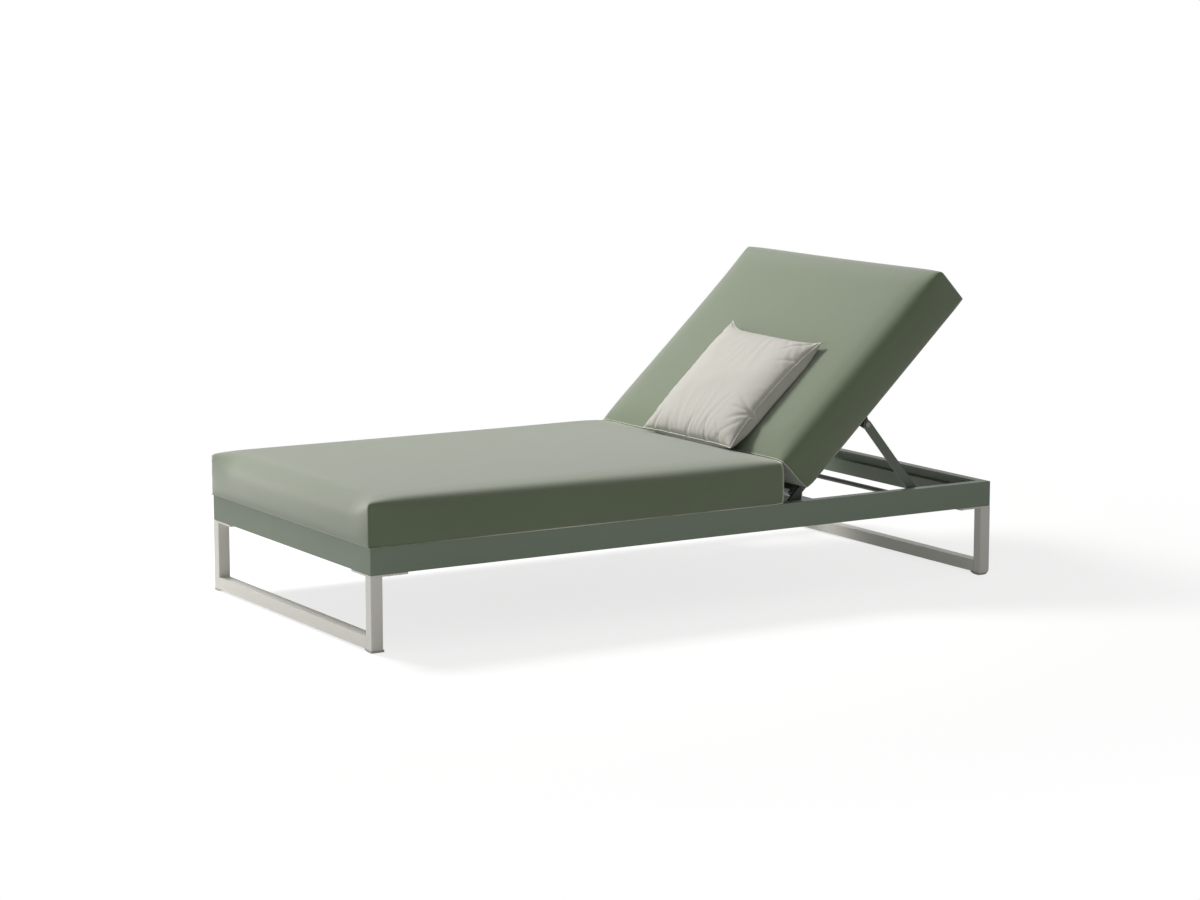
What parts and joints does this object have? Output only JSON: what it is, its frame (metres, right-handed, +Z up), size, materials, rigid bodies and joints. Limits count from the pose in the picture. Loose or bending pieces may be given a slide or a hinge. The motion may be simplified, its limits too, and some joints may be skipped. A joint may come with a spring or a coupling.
{
  "type": "sun lounger",
  "caption": "Low sun lounger with a slatted frame on sled legs, a thick two-part mattress, a scatter pillow and a reclining back propped by a folding stay in notched racks.",
  "frame": {"origin": "centre of the lounger's footprint, on the floor", "axes": "+X towards the head end, +Y towards the right-hand side of someone lying on it, +Z up"},
  "size_m": [2, 0.96, 0.8815],
  "materials": {
    "frame_green": "satin",
    "leg_grey": "satin",
    "glide_grey": "matte",
    "deck_green": "satin",
    "cap_black": "matte",
    "bush_black": "satin",
    "hinge_dark": "satin",
    "stay_green": "satin",
    "steel": "satin",
    "mattress_fabric": "matte",
    "pillow_fabric": "matte"
  },
  "bodies": {
    "base": {"bracket_screws": "steel", "foot_glide_left": "glide_grey", "foot_glide_right": "glide_grey", "foot_leg_plate_left": "leg_grey", "foot_leg_plate_right": "leg_grey", "foot_post_left": "leg_grey", "foot_post_right": "leg_grey", "foot_rail": "frame_green", "foot_runner": "leg_grey", "head_glide_left": "glide_grey", "head_glide_right": "glide_grey", "head_leg_plate_left": "leg_grey", "head_leg_plate_right": "leg_grey", "head_post_left": "leg_grey", "head_post_right": "leg_grey", "head_rail": "frame_green", "head_runner": "leg_grey", "hinge_beam": "frame_green", "hinge_bracket_left": "hinge_dark", "hinge_bracket_right": "hinge_dark", "hinge_pin_left": "steel", "hinge_pin_right": "steel", "leg_screws": "steel", "rack_left": "stay_green", "rack_right": "stay_green", "seat_pad": "mattress_fabric", "seat_slat_1": "deck_green", "seat_slat_2": "deck_green", "seat_slat_3": "deck_green", "seat_slat_4": "deck_green", "seat_slat_5": "deck_green", "seat_slat_6": "deck_green", "seat_slat_7": "deck_green", "seat_slat_8": "deck_green", "seat_slat_9": "deck_green", "side_rail_left": "frame_green", "side_rail_right": "frame_green", "slat_end_caps": "cap_black"},
    "backrest": {"back_slat_1": "deck_green", "back_slat_2": "deck_green", "back_slat_3": "deck_green", "back_slat_4": "deck_green", "back_stile_left": "deck_green", "back_stile_right": "deck_green", "hinge_arm_left": "hinge_dark", "hinge_arm_right": "hinge_dark", "hinge_bush_left": "bush_black", "hinge_bush_right": "bush_black", "stay_bolt_left": "steel", "stay_bolt_right": "steel", "stay_lug_left": "hinge_dark", "stay_lug_right": "hinge_dark", "back_top_rail": "deck_green", "back_bottom_rail": "deck_green"},
    "stay": {"stay_arm_left": "stay_green", "stay_arm_right": "stay_green", "stay_bar": "stay_green"},
    "back_mattress": {"back_pad": "mattress_fabric"},
    "scatter_pillow": {"pillow": "pillow_fabric"}
  },
  "joints": [
    {"name": "recline", "type": "hinge", "parent": "base", "child": "backrest", "pos_m": [0.3233, 0, 0.26], "axis": [0, -1, 0], "range_deg": [-43.1, 12]},
    {"name": "stay_swing", "type": "hinge", "parent": "backrest", "child": "stay", "pos_m": [0.58685, 0, 0.4628], "axis": [0, -1, 0], "range_deg": [-26.28, 94.39]},
    {"name": "mattress_creep", "type": "slide", "parent": "backrest", "child": "back_mattress", "axis": [0.742, 0, 0.6704], "range_m": [-0.09779, 0.02723]},
    {"name": "pillow_lift", "type": "slide", "parent": "back_mattress", "child": "scatter_pillow", "axis": [-0.6833, 0, 0.7302], "range_m": [0, 0.3]}
  ],
  "couplings": [
    {"joint": "stay_swing", "follows": "recline", "ratio": -2.19},
    {"joint": "mattress_creep", "follows": "recline", "m_per_rad": 0.13}
  ]
}
